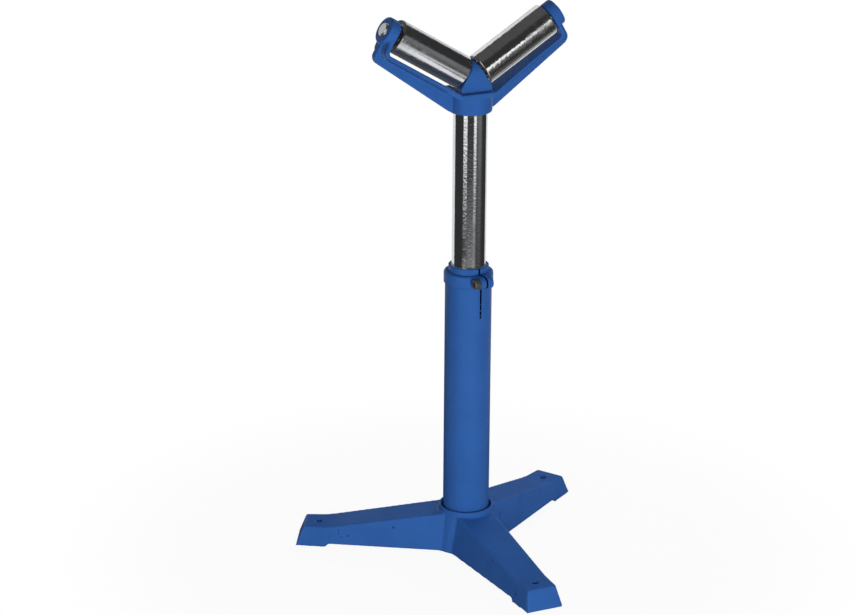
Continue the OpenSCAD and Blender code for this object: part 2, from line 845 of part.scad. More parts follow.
bearing_cage(-1, outer_bearing_x);  // left_outer_bearing_cage
bearing_cage(1, inner_bearing_x);  // right_inner_bearing_cage
bearing_cage(1, outer_bearing_x);  // right_outer_bearing_cage
bearing_seals(-1);  // left_bearing_seals
bearing_seals(1);  // right_bearing_seals
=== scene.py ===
"""Looks of the height-adjustable V-head roller stand.

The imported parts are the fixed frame. The castings are remade with their cast edges, the turned parts are
remade with smooth surfaces, the ball rows are laid out by a node tree, and every part gets its finish. A pale
studio and the camera come last. Sizes are in metres, in the frame's own axes.
"""

import logging
import math
from dataclasses import dataclass
from enum import Enum

import bmesh
import bpy
from mathutils import Matrix, Vector


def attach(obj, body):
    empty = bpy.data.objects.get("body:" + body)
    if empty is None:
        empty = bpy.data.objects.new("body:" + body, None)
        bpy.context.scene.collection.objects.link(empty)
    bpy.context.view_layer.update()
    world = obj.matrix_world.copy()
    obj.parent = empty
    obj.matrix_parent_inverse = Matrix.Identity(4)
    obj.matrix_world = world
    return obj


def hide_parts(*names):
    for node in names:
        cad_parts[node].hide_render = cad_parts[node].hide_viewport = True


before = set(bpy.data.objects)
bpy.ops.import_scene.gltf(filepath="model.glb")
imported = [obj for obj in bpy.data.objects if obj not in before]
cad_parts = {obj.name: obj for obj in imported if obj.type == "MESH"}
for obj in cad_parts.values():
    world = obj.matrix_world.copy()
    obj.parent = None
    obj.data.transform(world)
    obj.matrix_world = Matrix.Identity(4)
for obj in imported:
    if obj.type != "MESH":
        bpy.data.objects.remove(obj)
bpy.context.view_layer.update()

LOG = logging.getLogger("roller_stand")
MM = 0.001
PER_M = 1000.0
PER_RADIAN = 180 / math.pi
Z_TO_X = Matrix.Rotation(math.pi / 2, 4, "Y")

# Where the rollers' axes cross, the angle at which they rise, and where a roller begins and ends along one
CROSS_Z = 806.5 * MM
ARM_ANGLE = math.radians(31.5)
ROLLER_NEAR = 19.8 * MM
ROLLER_FAR = 154.6 * MM

# Where an arm's window ends along the roller's axis and below it, and half the arm's width. The groove runs
# round the window at a distance, and sets in between two points along the axis and two below it
WINDOW_END = 159.4 * MM
WINDOW_FOOT = -31.6 * MM
ARM_FACE = 21.9 * MM
GROOVE_AT = 8.8 * MM
GROOVE_ALONG = (30 * MM, 50 * MM)
GROOVE_BELOW = (10 * MM, 22 * MM)

# Direction of the clamp's slit, from X towards Y
SLIT_HEADING = math.radians(276.1)

# Facets round a turned form, and the distance within which two points of a mesh are one
ROUND = 192
WELD = 1e-6


class Side(Enum):
    """The two arms of the yoke."""

    LEFT = "left"
    RIGHT = "right"

    def sign(self) -> int:
        """Returns 1 for the right arm and -1 for the left."""
        return 1 if self is Side.RIGHT else -1

    def arm(self) -> Matrix:
        """Returns the arm's frame: X along the roller's axis, Z square to it."""
        turn = 0.0 if self is Side.RIGHT else math.pi
        return (Matrix.Translation((0, 0, CROSS_Z)) @ Matrix.Rotation(turn, 4, "Z")
                @ Matrix.Rotation(-ARM_ANGLE, 4, "Y"))


# ---- Node trees ----

class Value:
    """A number inside a shader tree. Arithmetic on it adds Math nodes."""

    def __init__(self, board: "Board", socket: bpy.types.NodeSocket) -> None:
        """Wraps the output socket of a board's tree that holds the number."""
        self.board = board
        self.socket = socket

    def _math(self, operation: str, *numbers: "Value | float") -> "Value":
        """Adds one Math node and returns its result."""
        return self.board.value("ShaderNodeMath", 0, {"operation": operation}, dict(enumerate(numbers)))

    def __add__(self, other: "Value | float") -> "Value":
        """Returns self + other."""
        return self._math("ADD", self, other)

    __radd__ = __add__

    def __sub__(self, other: "Value | float") -> "Value":
        """Returns self - other."""
        return self._math("SUBTRACT", self, other)

    def __rsub__(self, other: "Value | float") -> "Value":
        """Returns other - self."""
        return self._math("SUBTRACT", other, self)

    def __mul__(self, other: "Value | float") -> "Value":
        """Returns self * other."""
        return self._math("MULTIPLY", self, other)

    def __truediv__(self, other: "Value | float") -> "Value":
        """Returns self / other."""
        return self._math("DIVIDE", self, other)

    def root(self) -> "Value":
        """Returns the square root of self."""
        return self._math("SQRT", self)

    def size(self) -> "Value":
        """Returns self without its sign."""
        return self._math("ABSOLUTE", self)

    def rise_angle(self) -> "Value":
        """Returns the angle in degrees whose sine is self."""
        return self._math("ARCSINE", self) * PER_RADIAN

    def angle_from(self, ahead: "Value") -> "Value":
        """Returns the angle in degrees from the ahead direction, with self across it."""
        return self._math("ARCTAN2", self, ahead) * PER_RADIAN

    def at_least(self, other: "Value | float") -> "Value":
        """Returns the larger of self and other."""
        return self._math("MAXIMUM", self, other)

    def step(self, low: float, high: float) -> "Value":
        """Returns 0 below low and 1 above high, with a smooth change between them.

        Args:
            low: Where the change begins.
            high: Where the change ends. It may be below low, which turns the step round.
        """
        return self.board.value(
            "ShaderNodeMapRange", "Result", {"interpolation_type": "SMOOTHSTEP"},
            {"Value": self, "From Min": min(low, high), "From Max": max(low, high),
             "To Min": 0.0 if low < high else 1.0, "To Max": 1.0 if low < high else 0.0})

    def band(self, low: float, high: float, soft: float) -> "Value":
        """Returns 1 between low and high and 0 outside them, with edges soft wide."""
        return self.step(low - soft, low + soft) * self.step(high + soft, high - soft)


class Board:
    """A node tree on which nodes are placed by their type."""

    def __init__(self, tree: bpy.types.NodeTree) -> None:
        """Wraps a tree and clears it."""
        self.tree = tree
        tree.nodes.clear()

    def add(self, kind: str, settings: dict | None = None, inputs: dict | None = None) -> bpy.types.Node:
        """Adds one node and returns it.

        Args:
            kind: The node's type name.
            settings: Properties set first, such as an operation.
            inputs: Numbers, sockets or Value objects by input name or number.
        """
        node = self.tree.nodes.new(kind)
        for name, setting in (settings or {}).items():
            setattr(node, name, setting)
        for name, given in (inputs or {}).items():
            socket = node.inputs[name]
            if isinstance(given, Value):
                given = given.socket
            if isinstance(given, bpy.types.NodeSocket):
                self.tree.links.new(given, socket)
            else:
                socket.default_value = given
        return node

    def value(self, kind: str, output: str | int = 0, settings: dict | None = None,
              inputs: dict | None = None) -> Value:
        """Adds one node and returns one of its outputs as a Value."""
        return Value(self, self.add(kind, settings, inputs).outputs[output])

    def place(self, turn: tuple = (0, 0, 0), stretch: tuple = (1, 1, 1)) -> bpy.types.NodeSocket:
        """Returns object coordinates that have passed through a Mapping node.

        Args:
            turn: Rotation of the pattern about X, Y and Z in radians.
            stretch: Scale of the pattern along its own axes.
        """
        where = self.add("ShaderNodeTexCoord").outputs["Object"]
        return self.add("ShaderNodeMapping", {"vector_type": "POINT"},
                        {"Vector": where, "Rotation": turn, "Scale": stretch}).outputs[0]

    def split(self, where: bpy.types.NodeSocket) -> tuple[Value, Value, Value]:
        """Returns a vector's three parts."""
        parts = self.add("ShaderNodeSeparateXYZ", None, {0: where}).outputs
        return tuple(Value(self, part) for part in parts)

    def away(self, where: bpy.types.NodeSocket, point: tuple = (0.0, 0.0, 0.0)) -> Value:
        """Returns the distance of a place from a point."""
        return self.value("ShaderNodeVectorMath", "Value", {"operation": "DISTANCE"}, {0: where, 1: point})

    def rays(self) -> tuple[Value, Value]:
        """Returns 1 on rays that see a thing directly, and 1 on rays that bright metal mirrors."""
        ray = {name: Value(self, socket) for name, socket in self.add("ShaderNodeLightPath").outputs.items()}
        return ray["Is Camera Ray"].at_least(ray["Is Transmission Ray"]), ray["Is Glossy Ray"]

    def noise(self, where: bpy.types.NodeSocket, scale: float, detail: float = 2.0,
              roughness: float = 0.5) -> Value:
        """Returns noise from 0 to 1 at a place, with scale in cycles for each metre."""
        return self.value("ShaderNodeTexNoise", "Fac", {"noise_dimensions": "3D"},
                          {"Vector": where, "Scale": scale, "Detail": detail, "Roughness": roughness})

    def mix(self, share: "Value | float", first: "tuple | bpy.types.NodeSocket",
            second: "tuple | bpy.types.NodeSocket") -> bpy.types.NodeSocket:
        """Returns the socket of a mix of two colours, given as four numbers or sockets.

        Args:
            share: Share of the second colour.
            first: First colour.
            second: Second colour.
        """
        return self.add("ShaderNodeMix", {"data_type": "RGBA"}, {0: share, 6: first, 7: second}).outputs[2]

    def bump(self, height: Value, distance: float,
             under: bpy.types.NodeSocket | None = None) -> bpy.types.NodeSocket:
        """Returns a normal from a height from 0 to 1 that stands for distance metres."""
        inputs = {"Height": height, "Distance": distance, "Strength": 1.0}
        if under is not None:
            inputs["Normal"] = under
        return self.add("ShaderNodeBump", None, inputs).outputs["Normal"]


def shade(red: float, green: float, blue: float) -> tuple[float, float, float, float]:
    """Returns a linear colour with full alpha."""
    return (red, green, blue, 1.0)


def grey(tone: float) -> tuple[float, float, float, float]:
    """Returns a linear grey with full alpha."""
    return shade(tone, tone, tone)


def toned(colour: tuple, share: float) -> tuple[float, float, float, float]:
    """Returns a linear colour made darker or, with a share over 1, lighter, with full alpha."""
    return shade(*(part * share for part in colour))


class Finish:
    """Base of all finishes: makes the material and joins a Principled surface to its output."""

    name = "finish"
    slot = "cast_paint"

    def fill(self, board: Board) -> dict:
        """Adds the finish's nodes and returns the Principled inputs."""
        raise NotImplementedError

    def material(self) -> bpy.types.Material:
        """Returns the finish's material, made once."""
        label = f"{self.name}_finish"
        found = bpy.data.materials.get(label)
        if found is not None:
            return found
        made = bpy.data.materials.new(label)
        made.use_nodes = True
        board = Board(made.node_tree)
        surface = board.add("ShaderNodeBsdfPrincipled", None, self.fill(board))
        board.add("ShaderNodeOutputMaterial", None, {"Surface": surface.outputs[0]})
        return made


@dataclass(frozen=True)
class BluePaint(Finish):
    """Blue gloss paint over cast iron or drawn tube, with small runs, pits and a little orange peel.

    Attributes:
        blemishes: Single pits, as (x, y, z, radius) in millimetres.
        slit: Inner and outer half width of the band on the slit's walls and edges that is painted near black
            as shade, in millimetres, and the height of its foot.
        worn_rim: Radius of the column's worn top edge in millimetres, and its height.
        groove_half: Half the width of the painted shade in the arms' grooves, in millimetres, or 0 for none.
    """

    name: str = "blue_paint"
    slot: str = "cast_paint"
    skin_scale: float = 330.0
    skin_depth: float = 0.00010
    swell_scale: float = 55.0
    swell_depth: float = 0.00045
    blotch_scale: float = 14.0
    pit_scale: float = 75.0
    pit_edge: tuple = (0.10, 0.045)
    pit_share: float = 0.035
    roughness: float = 0.36
    metal: float = 0.12
    gloss: float = 0.12
    body: tuple = (0.0290, 0.113, 0.376)
    deep: tuple = (0.0245, 0.096, 0.320)
    pit_tone: tuple = (0.008, 0.026, 0.085)
    slit_shade_tone: tuple = (0.003, 0.004, 0.006)
    groove_shade_tone: tuple = (0.010, 0.036, 0.135)
    worn_tone: tuple = (0.66, 0.67, 0.68)
    blemishes: tuple = ()
    slit: tuple | None = None
    worn_rim: tuple | None = None
    groove_half: float = 0.0

    def fill(self, board: Board) -> dict:
        """Adds the paint's nodes and returns the Principled inputs."""
        where = board.place()
        skin = board.noise(where, self.skin_scale, 2.0, 0.55)
        blotch = board.noise(where, self.blotch_scale, 3.0, 0.6)
        pits = self.pits(board, where)
        rough, metal = self.roughness + skin * 0.10 + blotch * 0.06, self.metal
        colour = board.mix(blotch.step(0.3, 0.75) * 0.75, shade(*self.body), shade(*self.deep))
        colour = board.mix(pits * 0.75, colour, shade(*self.pit_tone))
        # Painted shade: the slit's walls and edges are painted near black, standing in for the slit's unlit
        # depth
        if self.slit:
            colour = board.mix(self.slit_shade(board, where), colour, shade(*self.slit_shade_tone))
        # Painted shade: the groove round each arm's window is darkened as if it lay in shadow
        if self.groove_half:
            colour = board.mix(self.groove_shadow(board, where) * 0.60, colour, shade(*self.groove_shade_tone))
        if self.worn_rim:
            worn = self.worn_edge(board, where)
            colour = board.mix(worn, colour, shade(*self.worn_tone))
            rough, metal = rough - worn * 0.10, worn * 0.30 + self.metal
        normal = board.bump(board.noise(where, self.swell_scale), self.swell_depth)
        normal = board.bump(skin * 0.5 + 0.25 - pits * 0.6, self.skin_depth, normal)
        return {"Base Color": colour, "Roughness": rough, "Normal": normal, "Metallic": metal,
                "Specular IOR Level": self.gloss}

    def pits(self, board: Board, where: bpy.types.NodeSocket) -> Value:
        """Returns 1 in the paint's pits: a share of the cells of a pattern, and the single blemishes."""
        cells = board.add("ShaderNodeTexVoronoi", {"feature": "F1"},
                          {"Vector": where, "Scale": self.pit_scale}).outputs
        pick = board.value("ShaderNodeSeparateColor", 0, None, {"Color": cells["Color"]})
        pits = Value(board, cells["Distance"]).step(*self.pit_edge)
        pits = pits * pick.step(1 - self.pit_share, 1 - self.pit_share + 0.001)
        for x, y, z, radius in self.blemishes:
            away = board.away(where, (x * MM, y * MM, z * MM))
            pits = pits.at_least(away.step(radius * MM, radius * 0.5 * MM))
        return pits

    def slit_shade(self, board: Board, where: bpy.types.NodeSocket) -> Value:
        """Returns 1 on the walls and edges of the clamp's slit. The paint ends on the walls, and the walls
        and edges are painted near black as shade for the slit's unlit depth.
        """
        inner, outer, foot = self.slit
        x, y, z = board.split(where)
        outward = x * math.cos(SLIT_HEADING) + y * math.sin(SLIT_HEADING)
        across = (y * math.cos(SLIT_HEADING) - x * math.sin(SLIT_HEADING)) * PER_M
        walls = (across * across).band(inner * inner, outer * outer, 0.05)
        return walls * outward.step(20 * MM, 21 * MM) * z.step(foot - 0.5 * MM, foot)

    def worn_edge(self, board: Board, where: bpy.types.NodeSocket) -> Value:
        """Returns 1 on the column's top inner edge, where the mast has rubbed the paint off."""
        radius, rim_z = self.worn_rim
        x, y, z = board.split(where)
        reach = (x * x + y * y) * PER_M ** 2
        return reach.step((radius + 0.5) ** 2, radius ** 2) * z.step(rim_z - 1 * MM, rim_z)

    def groove_shadow(self, board: Board, where: bpy.types.NodeSocket) -> Value:
        """Returns 1 in the soft groove round each arm's window, where shade is painted into the paint's
        colour.
        """
        x, y, z = board.split(where)
        out, rise = x.size(), z - CROSS_Z
        along = out * math.cos(ARM_ANGLE) + rise * math.sin(ARM_ANGLE)
        above = rise * math.cos(ARM_ANGLE) - out * math.sin(ARM_ANGLE)
        past = (along - WINDOW_END).at_least(0.0) * PER_M
        below = (WINDOW_FOOT - above).at_least(0.0) * PER_M
        off = ((past * past + below * below).root() - GROOVE_AT * PER_M) / self.groove_half
        shadow = (1 - off * off).at_least(0.0)
        return (shadow * along.step(*GROOVE_ALONG) * (above * -1.0).step(*GROOVE_BELOW)
                * y.size().step(ARM_FACE - 8 * MM, ARM_FACE - 5 * MM))


@dataclass(frozen=True)
class BrightSteel(Finish):
    """Bright drawn or turned steel with fine marks along or around its axis."""

    name: str = "mast_bright"
    slot: str = "mast_steel"
    turn: tuple = (0.0, 0.0, 0.0)
    stretch: tuple = (1.0, 1.0, 0.02)
    mark_scale: float = 1500.0
    mark_depth: float = 0.000004
    speck_scale: float = 250.0
    speck_depth: float = 0.00007
    roughness: float = 0.055
    side: Side | None = None
    haze: float = 0.0
    haze_scale: float = 75.0
    cloud_scale: float = 32.0
    colour: tuple = (0.74, 0.755, 0.785)
    end_shade_tone: tuple = (0.05, 0.05, 0.052)

    def fill(self, board: Board) -> dict:
        """Adds the steel's nodes and returns the Principled inputs."""
        plain = board.place(self.turn)
        marks = board.noise(board.place(self.turn, self.stretch), self.mark_scale, 2.0, 0.6)
        specks = board.noise(plain, self.speck_scale, 1.0, 0.35)
        cloud = board.noise(plain, self.cloud_scale)
        colour = board.mix(cloud.step(0.42, 0.7) * 0.6, shade(*self.colour), toned(self.colour, 0.84))
        normal = board.bump(specks, self.speck_depth, board.bump(marks, self.mark_depth))
        rough = self.roughness + marks * 0.05 + cloud.step(0.4, 0.75) * 0.06
        if self.haze:
            # The rollers are duller towards their outer ends, where bars and tubes run on them
            reach = board.away(board.place(), (0.0, 0.0, CROSS_Z))
            haze = board.noise(plain, self.haze_scale, 3.0, 0.6).step(0.40, 0.62)
            rough = rough + haze * (reach.step(60 * MM, 150 * MM) + 0.25) * self.haze
        if self.side:
            # The end faces are dull, and painted dark as painted shade where they face the yoke close by
            x, _, z = board.split(board.place())
            along = x * (self.side.sign() * math.cos(ARM_ANGLE)) + (z - CROSS_Z) * math.sin(ARM_ANGLE)
            ends = (1 - along.band(ROLLER_NEAR + 0.3 * MM, ROLLER_FAR - 0.3 * MM, 0.1 * MM)) * 0.9
            colour = board.mix(ends, colour, shade(*self.end_shade_tone))
            rough = rough + ends * 0.35
        return {"Base Color": colour, "Metallic": 1.0, "Roughness": rough, "Normal": normal}


@dataclass(frozen=True)
class TurnedSteel(Finish):
    """Plain machined steel: dull, with a fine grain and a little cloudy."""

    name: str = "turned_steel"
    slot: str = "turned_steel"
    roughness: float = 0.32
    colour: tuple = (0.60, 0.61, 0.63)
    grain_scale: float = 2600.0
    grain_depth: float = 0.000006
    cloud_scale: float = 60.0
    cloud_share: float = 0.5
    cloud_tone: float = 0.7
    cloud_rough: float = 0.14

    def fill(self, board: Board) -> dict:
        """Adds the metal's nodes and returns the Principled inputs."""
        where = board.place()
        grain = board.noise(where, self.grain_scale, 1.0)
        cloud = board.noise(where, self.cloud_scale, 3.0, 0.6)
        colour = board.mix(cloud.step(0.35, 0.8) * self.cloud_share, shade(*self.colour),
                           toned(self.colour, self.cloud_tone))
        return {"Base Color": colour, "Metallic": 1.0, "Roughness": self.roughness + cloud * self.cloud_rough,
                "Normal": board.bump(grain, self.grain_depth)}


@dataclass(frozen=True)
class YellowMetal(TurnedSteel):
    """Bronze of the guide ring or brass of the ball cages."""

    name: str = "guide_bronze"
    slot: str = "bronze"
    roughness: float = 0.30
    colour: tuple = (0.40, 0.20, 0.07)
    grain_scale: float = 1800.0
    cloud_scale: float = 80.0
    cloud_share: float = 0.6
    cloud_tone: float = 0.6
    cloud_rough: float = 0.15


@dataclass(frozen=True)
class BlackOxide(Finish):
    """Black oxide on screws and clips, a little browned."""

    name: str = "black_oxide"
    slot: str = "dark_steel"
    tone: float = 1.0
    dark: tuple = (0.115, 0.118, 0.125)
    pale: tuple = (0.165, 0.155, 0.150)
    metal: float = 0.85
    roughness: float = 0.28
    grain_scale: float = 900.0
    grain_depth: float = 0.00002
    cloud_scale: float = 120.0

    def fill(self, board: Board) -> dict:
        """Adds the oxide's nodes and returns the Principled inputs."""
        where = board.place()
        grain = board.noise(where, self.grain_scale, 2.0, 0.6)
        cloud = board.noise(where, self.cloud_scale, 3.0, 0.6)
        colour = board.mix(cloud.step(0.3, 0.8), toned(self.dark, self.tone), toned(self.pale, self.tone))
        return {"Base Color": colour, "Metallic": self.metal, "Roughness": self.roughness + grain * 0.2,
                "Normal": board.bump(grain, self.grain_depth)}


@dataclass(frozen=True)
class SealRubber(Finish):
    """Matte black rubber of the bearing seals."""

    name: str = "seal_rubber"
    slot: str = "seal_rubber"
    dark: tuple = (0.012, 0.012, 0.014)
    pale: tuple = (0.022, 0.021, 0.021)
    roughness: float = 0.55
    grain_scale: float = 1200.0
    grain_depth: float = 0.00002
    cloud_scale: float = 150.0

    def fill(self, board: Board) -> dict:
        """Adds the rubber's nodes and returns the Principled inputs."""
        where = board.place()
        grain = board.noise(where, self.grain_scale, 2.0, 0.6)
        colour = board.mix(board.noise(where, self.cloud_scale), shade(*self.dark), shade(*self.pale))
        return {"Base Color": colour, "Roughness": self.roughness + grain * 0.2,
                "Normal": board.bump(grain, self.grain_depth)}


def roller_steel(side: Side, **own: "float | tuple") -> BrightSteel:
    """Returns the bright steel of one roller, with marks round its axis and what is its own."""
    return BrightSteel(name=f"{side.value}_roller_bright", slot="roller_steel", side=side, roughness=0.07,
                       turn=(0, side.sign() * ARM_ANGLE, 0), stretch=(0.03, 1, 1), haze=0.13, **own)


YOKE_PAINT = BluePaint(groove_half=5.5)
BASE_PAINT = BluePaint(name="base_paint", blemishes=(
    (-119.3, 28.5, 39.2, 2.6), (-198.2, 75.4, 28.5, 1.8), (-198.5, 74.4, 23.5, 1.6),
    (-186.0, 65.7, 20.7, 2.4), (-195.6, 71.1, 18.4, 1.6), (-27.4, -157.8, 38.7, 2.2),
    (-29.8, -156.7, 28.8, 1.8), (-26.2, -240.0, 17.2, 2.4), (-26.2, -240.0, 14.6, 2.2)))
COLUMN_PAINT = BluePaint(name="column_paint", slot="column_paint", skin_depth=0.00005, swell_scale=40.0,
                         swell_depth=0.00018, pit_share=0.02, roughness=0.32,
                         slit=(1.15, 1.6, 412 * MM), worn_rim=(28.9, 494.2 * MM))
MAST_STEEL = BrightSteel(speck_scale=290.0, speck_depth=0.00006)
ROLLER_STEEL = {
    Side.LEFT: roller_steel(Side.LEFT, haze_scale=110.0),
    Side.RIGHT: roller_steel(Side.RIGHT, speck_scale=200.0, speck_depth=0.00022, colour=(0.74, 0.75, 0.74)),
}
TURNED = TurnedSteel()
AXLE_STEEL = TurnedSteel(name="axle_steel", roughness=0.24, colour=(0.72, 0.73, 0.75))
BALL_STEEL = TurnedSteel(name="bearing_steel", slot="bearing_steel", roughness=0.10,
                         colour=(0.68, 0.69, 0.71))
OXIDE = BlackOxide()
SCREW_STEEL = BlackOxide(name="screw_oxide", tone=1.8)
BRONZE = YellowMetal()
CAGE_BRASS = YellowMetal(name="cage_brass", slot="cage_brass", colour=(0.46, 0.28, 0.08))
SEAL = SealRubber()


# ---- Mesh helpers ----

def new_piece(name: str, data: bpy.types.ID) -> bpy.types.Object:
    """Returns a new object at the origin that holds a mesh, a light or a camera."""
    piece = bpy.data.objects.new(name, data)
    bpy.context.scene.collection.objects.link(piece)
    return piece


def stand_for(piece: bpy.types.Object, finish: Finish, body: str, *nodes: str) -> None:
    """Dresses a finished piece and puts it in the place of CAD nodes.

    Args:
        piece: The finished piece.
        finish: Its finish.
        body: The body it rides on.
        nodes: The nodes it replaces.
    """
    piece.data.materials.clear()
    piece.data.materials.append(finish.material())
    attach(piece, body)
    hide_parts(*nodes)
    LOG.info("%s stands for %s, %d faces", piece.name, ", ".join(nodes), len(piece.data.polygons))


def redress(finish: Finish, *nodes: str) -> None:
    """Gives CAD nodes whose shape is right their finish."""
    for node in nodes:
        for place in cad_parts[node].material_slots:
            place.material = finish.material()
        LOG.info("%s keeps its own form", node)


def eased(corners: list[tuple[float, float, float]], closed: bool = True, steps: int = 4,
          most: float = 0.45, guard: float = 0.25 * MM) -> list[tuple]:
    """Rounds the corners of an outline.

    Args:
        corners: Points as (along, radius, rounding radius).
        closed: Whether the last point joins the first.
        steps: Facets of each rounded corner.
        most: The largest share of a side that a corner's rounding takes.
        guard: How far from a rounded corner its support points lie.

    Returns:
        The outline's points, with a support point on each side of each rounded corner.
    """
    count = len(corners)
    points: list[tuple] = []
    for i, (x, y, radius) in enumerate(corners):
        if radius <= 0 or (not closed and i in (0, count - 1)):
            points.append((x, y))
            continue
        here = Vector((x, y))
        back = Vector(corners[i - 1][:2]) - here
        ahead = Vector(corners[(i + 1) % count][:2]) - here
        half = back.angle(ahead) / 2
        reach = min(radius / math.tan(half), most * back.length, most * ahead.length)
        back.normalize()
        ahead.normalize()
        centre = here + (back + ahead).normalized() * (reach * math.tan(half) / math.sin(half))
        first, last = here + back * reach - centre, here + ahead * reach - centre
        sweep = math.pi - 2 * half
        points.append(tuple(here + back * (reach + guard)))
        for k in range(steps + 1):
            done = k / steps * sweep
            spoke = (first * math.sin(sweep - done) + last * math.sin(done)) / math.sin(sweep)
            points.append(tuple(centre + spoke))
        points.append(tuple(here + ahead * (reach + guard)))
    return points


def turned(name: str, outline: list[tuple[float, float]], place: Matrix, segments: int = ROUND,
           closed: bool = True) -> bpy.types.Object:
    """Turns an outline about Z and puts the result in its place.

    Args:
        name: Name of the piece.
        outline: Points as (along the axis, radius).
        place: Where the turned form goes.
        segments: Facets round the axis.
        closed: True for a ring or tube, False for a solid whose outline begins and ends on the axis.

    Returns:
        The piece, closed and smooth, with edges over 35 degrees kept sharp.
    """
    mesh = bpy.data.meshes.new(name)
    bm = bmesh.new()
    rings = []
    for along, radius in outline:
        if radius < WELD:
            rings.append([bm.verts.new((0, 0, along))])
        else:
            turns = (2 * math.pi * k / segments for k in range(segments))
            rings.append([bm.verts.new((radius * math.cos(turn), radius * math.sin(turn), along))
                          for turn in turns])
    pairs = list(zip(rings, rings[1:])) + ([(rings[-1], rings[0])] if closed else [])
    for lower, upper in pairs:
        for k in range(segments):
            n = (k + 1) % segments
            corners = [lower[k], lower[n]] if len(lower) > 1 else [lower[0]]
            corners += [upper[n], upper[k]] if len(upper) > 1 else [upper[0]]
            bm.faces.new(corners)
    bmesh.ops.recalc_face_normals(bm, faces=bm.faces)
    bm.transform(place)
    finish_mesh(bm, mesh)
    return new_piece(name, mesh)


def finish_mesh(bm: bmesh.types.BMesh, mesh: bpy.types.Mesh, sharp: float = 35.0) -> None:
    """Writes a bmesh into a mesh, smooth but for its sharp edges."""
    bm.to_mesh(mesh)
    bm.free()
    mesh.shade_smooth()
    mesh.set_sharp_from_angle(angle=math.radians(sharp))


def settled(piece: bpy.types.Object) -> bpy.types.Object:
    """Turns a piece's modifiers into its plain mesh and returns the piece."""
    bpy.context.view_layer.update()
    made = bpy.data.meshes.new_from_object(piece.evaluated_get(bpy.context.evaluated_depsgraph_get()))
    made.name = piece.name
    piece.modifiers.clear()
    piece.data = made
    return piece


def merged_copy(node: str, name: str) -> bpy.types.Object:
    """Returns a copy of a CAD node with its loose triangles joined."""
    mesh = bpy.data.meshes.new(name)
    bm = bmesh.new()
    bm.from_mesh(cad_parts[node].data)
    bmesh.ops.remove_doubles(bm, verts=bm.verts, dist=WELD)
    finish_mesh(bm, mesh, 180.0)
    return new_piece(name, mesh)


def cast(node: str, name: str, grain: float, passes: int, soft: int) -> bpy.types.Object:
    """Returns a CAD node remade as a casting, with its edges and inner corners rounded.

    Args:
        node: The CAD node.
        name: Name of the piece.
        grain: Size of the new mesh's faces.
        passes: How many times the new surface is relaxed before it goes back on to the node's own faces.
        soft: How many times it is relaxed after that; more gives rounder edges.
    """
    piece = merged_copy(node, name)
    faces = merged_copy(node, f"{name}_faces")
    remesh = piece.modifiers.new("grain", "REMESH")
    remesh.mode = "VOXEL"
    remesh.voxel_size = grain
    remesh.use_smooth_shade = True
    relax = piece.modifiers.new("relax", "SMOOTH")
    relax.iterations = passes
    wrap = piece.modifiers.new("faces", "SHRINKWRAP")
    wrap.target = faces
    relax = piece.modifiers.new("soften", "SMOOTH")
    relax.iterations = soft
    settled(piece)
    spare = faces.data
    bpy.data.objects.remove(faces)
    bpy.data.meshes.remove(spare)
    return piece


def smooth(value: float, low: float, high: float) -> float:
    """Returns 0 below low and 1 above high, with a smooth change between them."""
    share = min(max((value - low) / (high - low), 0.0), 1.0)
    return share * share * (3 - 2 * share)


def add_drop(piece: bpy.types.Object, middle: tuple, radii: tuple) -> None:
    """Adds a smooth drop, such as a run of paint or a gate mark, to a piece's mesh.

    Args:
        piece: The piece.
        middle: The drop's middle.
        radii: Its half sizes along X, Y and Z.
    """
    bm = bmesh.new()
    bm.from_mesh(piece.data)
    made = bmesh.ops.create_uvsphere(bm, u_segments=20, v_segments=12, radius=1.0,
                                     matrix=Matrix.Translation(middle) @ Matrix.Diagonal((*radii, 1.0)))
    for face in {face for vert in made["verts"] for face in vert.link_faces}:
        face.smooth = True
    bm.to_mesh(piece.data)
    bm.free()


def eased_copy(node: str, name: str, width: float, flat: float = 0.3,
               sharp: float = 32.0) -> bpy.types.Object:
    """Returns a copy of a CAD node with its sharp edges rounded a little.

    Args:
        node: The CAD node.
        name: Name of the piece.
        width: Width of the rounded edges.
        flat: Faces that meet at fewer degrees than this become one.
        sharp: Edges over this many degrees are rounded.
    """
    piece = merged_copy(node, name)
    bm = bmesh.new()
    bm.from_mesh(piece.data)
    bmesh.ops.dissolve_limit(bm, angle_limit=math.radians(flat), verts=bm.verts, edges=bm.edges)
    bm.to_mesh(piece.data)
    bm.free()
    ease = piece.modifiers.new("ease", "BEVEL")
    ease.width = width
    ease.segments = 3
    ease.limit_method = "ANGLE"
    ease.angle_limit = math.radians(sharp)
    ease.harden_normals = True
    return settled(piece)


# ---- Sub-assemblies ----

@dataclass
class TripodBase:
    """Cast base with three legs, and the bolt that holds the column on it."""

    grain: float = 1.9 * MM
    passes: int = 3
    soft: int = 6
    gate_mark: tuple = (64.4 * MM, -3.5 * MM, 40.5 * MM)
    gate_radii: tuple = (2 * MM, 2 * MM, 6 * MM)

    def build(self) -> None:
        """Makes the casting and dresses the bolt's parts."""
        casting = cast("base_casting", "tripod_casting", self.grain, self.passes, self.soft)
        add_drop(casting, self.gate_mark, self.gate_radii)
        stand_for(casting, BASE_PAINT, "stand", "base_casting")
        redress(OXIDE, "column_foot_plug", "anchor_bolt", "anchor_lock_washer")
        redress(TURNED, "anchor_washer")


